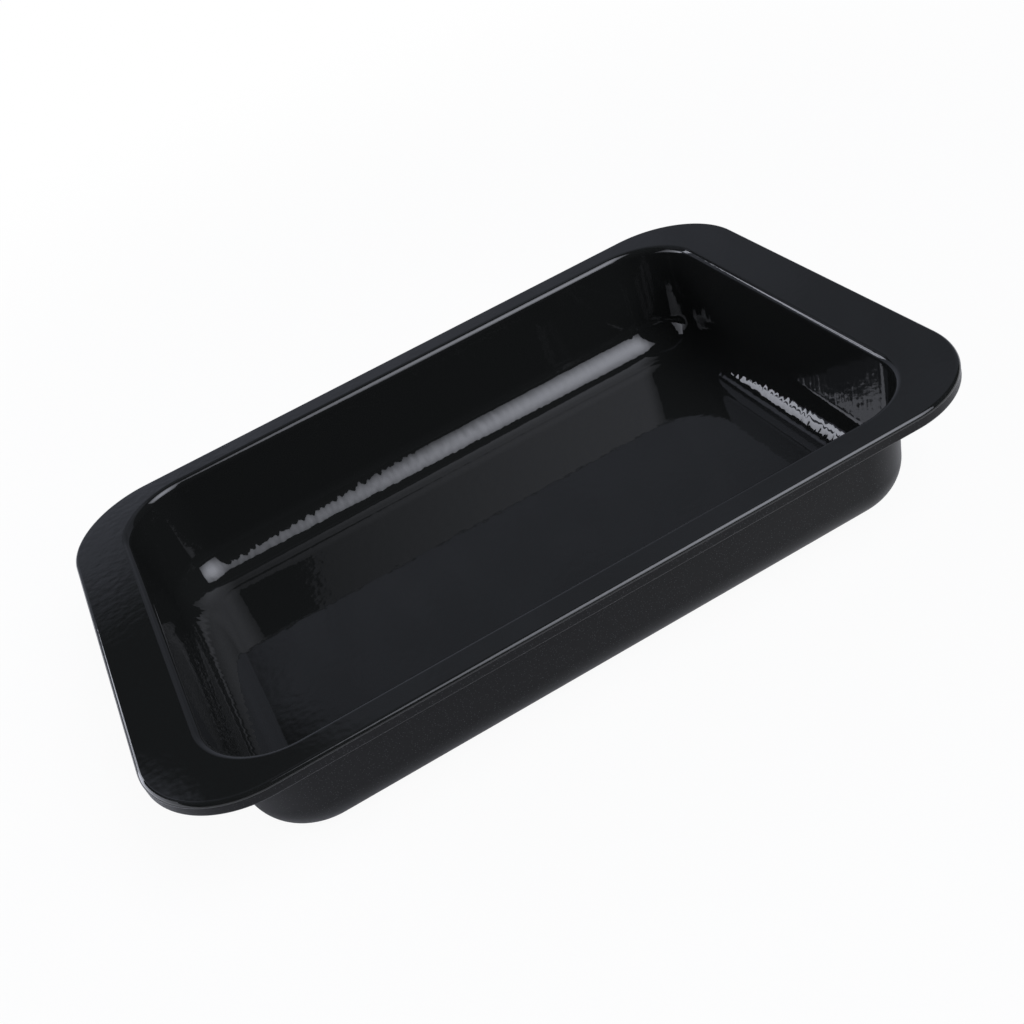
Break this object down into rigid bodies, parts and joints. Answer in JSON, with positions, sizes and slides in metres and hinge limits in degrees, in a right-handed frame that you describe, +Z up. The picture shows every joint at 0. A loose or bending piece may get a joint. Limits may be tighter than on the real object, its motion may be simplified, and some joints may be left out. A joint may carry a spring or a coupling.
{
  "type": "baking pan",
  "caption": "Shallow rectangular baking pan in black vitreous-enamelled steel, with a wide flat rim, rounded corners and a turned-down hemmed edge.",
  "frame": {"origin": "centre of the face the pan rests on, at the middle of its length and width", "axes": "+X along the length, +Y across the width, +Z up out of the mouth"},
  "size_m": [0.384, 0.26, 0.059],
  "materials": {
    "drawn_steel": "mill-rolled low-carbon sheet, deep drawn and pickled",
    "gloss_enamel": "gloss black vitreous enamel with a faint fired ripple",
    "satin_enamel": "satin dark-grey ground-coat enamel with fine specks"
  },
  "bodies": {
    "root": {"steel_body": "drawn_steel", "inside_enamel": "gloss_enamel", "outside_enamel": "satin_enamel"}
  },
  "joints": []
}
